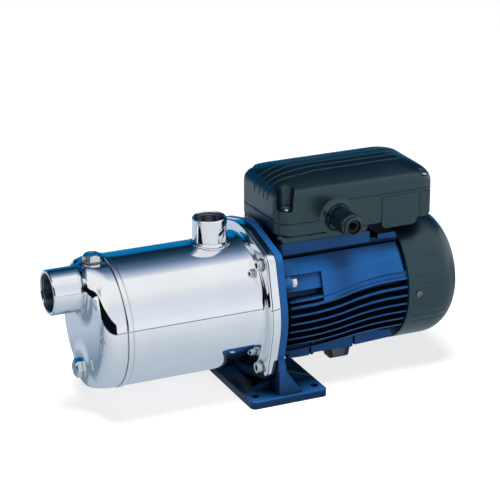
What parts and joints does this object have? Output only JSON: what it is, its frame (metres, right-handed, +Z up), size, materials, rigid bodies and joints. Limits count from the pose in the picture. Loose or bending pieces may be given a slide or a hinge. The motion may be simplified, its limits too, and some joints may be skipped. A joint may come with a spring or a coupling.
{
  "type": "shallow well jet pump",
  "caption": "Self-priming shallow well jet pump: stainless jet pump end with threaded suction and discharge, close-coupled to a finned, fan-cooled electric motor on a cast foot.",
  "frame": {"origin": "centre of the foot's four bolt holes, on the underside of the foot", "axes": "+Z up, +X along the shaft from the suction port towards the fan, Y across"},
  "size_m": [0.4741, 0.185, 0.2452],
  "materials": {
    "polished_stainless": "polished",
    "stainless_inner": "satin",
    "nickel_plate": "polished",
    "zinc_steel": "satin",
    "blackened_steel": "satin",
    "blue_casting": "satin",
    "bearing_steel": "satin",
    "lamination_steel": "matte",
    "winding_copper": "gloss",
    "black_plastic": "satin",
    "inner_plastic": "satin",
    "impeller_plastic": "satin",
    "nozzle_brass": "satin",
    "black_rubber": "matte",
    "fibre_seal": "matte",
    "seal_ceramic": "polished",
    "capacitor_case": "gloss"
  },
  "bodies": {
    "pump": {"box_gasket": "black_rubber", "capacitor": "capacitor_case", "casing_barrel": "polished_stainless", "casing_end_cap": "polished_stainless", "casing_o_ring": "black_rubber", "clamp_ring": "polished_stainless", "clamp_screws": "zinc_steel", "clamp_washers": "zinc_steel", "diffuser": "inner_plastic", "discharge_socket": "polished_stainless", "ejector_body": "inner_plastic", "fan_cover": "black_plastic", "fan_cover_screws": "blackened_steel", "front_bearing_outer": "bearing_steel", "front_winding": "winding_copper", "gland_body": "black_plastic", "gland_nut": "black_plastic", "gland_seal": "black_rubber", "jet_nozzle": "nozzle_brass", "lid_screws": "zinc_steel", "motor_bracket": "blue_casting", "motor_frame": "blue_casting", "rear_bearing_outer": "bearing_steel", "rear_end_shield": "blue_casting", "rear_winding": "winding_copper", "seal_plate": "stainless_inner", "seal_seat": "seal_ceramic", "stator_core": "lamination_steel", "suction_socket": "polished_stainless", "support_bracket": "stainless_inner", "support_pad": "black_rubber", "terminal_block": "inner_plastic", "terminal_box_base": "black_plastic", "terminal_box_lid": "black_plastic", "tie_bolts": "zinc_steel", "venturi_tube": "inner_plastic", "wave_washer": "stainless_inner"},
    "rotor": {"pump_shaft": "bearing_steel", "rotor_core": "lamination_steel", "impeller": "impeller_plastic", "impeller_nut": "stainless_inner", "impeller_key": "stainless_inner", "seal_head": "black_rubber", "seal_spring": "stainless_inner", "water_slinger": "black_rubber", "front_bearing_inner": "bearing_steel", "rear_bearing_inner": "bearing_steel", "fan": "black_plastic", "fan_clip": "stainless_inner"},
    "fill_seal": {"fill_plug_seal": "fibre_seal"},
    "fill_plug": {"fill_plug": "nickel_plate"},
    "drain_seal": {"drain_plug_seal": "fibre_seal"},
    "drain_plug": {"drain_plug": "nickel_plate"}
  },
  "joints": [
    {"name": "shaft_spin", "type": "hinge", "parent": "pump", "child": "rotor", "pos_m": [0.08, 0, 0.097], "axis": [1, 0, 0], "continuous": true},
    {"name": "fill_plug_rise", "type": "slide", "parent": "pump", "child": "fill_seal", "axis": [0, 0, 1], "range_m": [0, 0.009]},
    {"name": "fill_plug_turn", "type": "hinge", "parent": "fill_seal", "child": "fill_plug", "pos_m": [-0.1948, 0, 0.1692], "axis": [0, 0, 1], "range_deg": [0, 2450]},
    {"name": "drain_plug_rise", "type": "slide", "parent": "pump", "child": "drain_seal", "axis": [-1, 0, 0], "range_m": [0, 0.009]},
    {"name": "drain_plug_turn", "type": "hinge", "parent": "drain_seal", "child": "drain_plug", "pos_m": [-0.2115, 0, 0.0465], "axis": [-1, 0, 0], "range_deg": [0, 2450]}
  ],
  "couplings": [
    {"joint": "fill_plug_turn", "follows": "fill_plug_rise", "rad_per_m": 4699.5},
    {"joint": "drain_plug_turn", "follows": "drain_plug_rise", "rad_per_m": 4699.5}
  ]
}
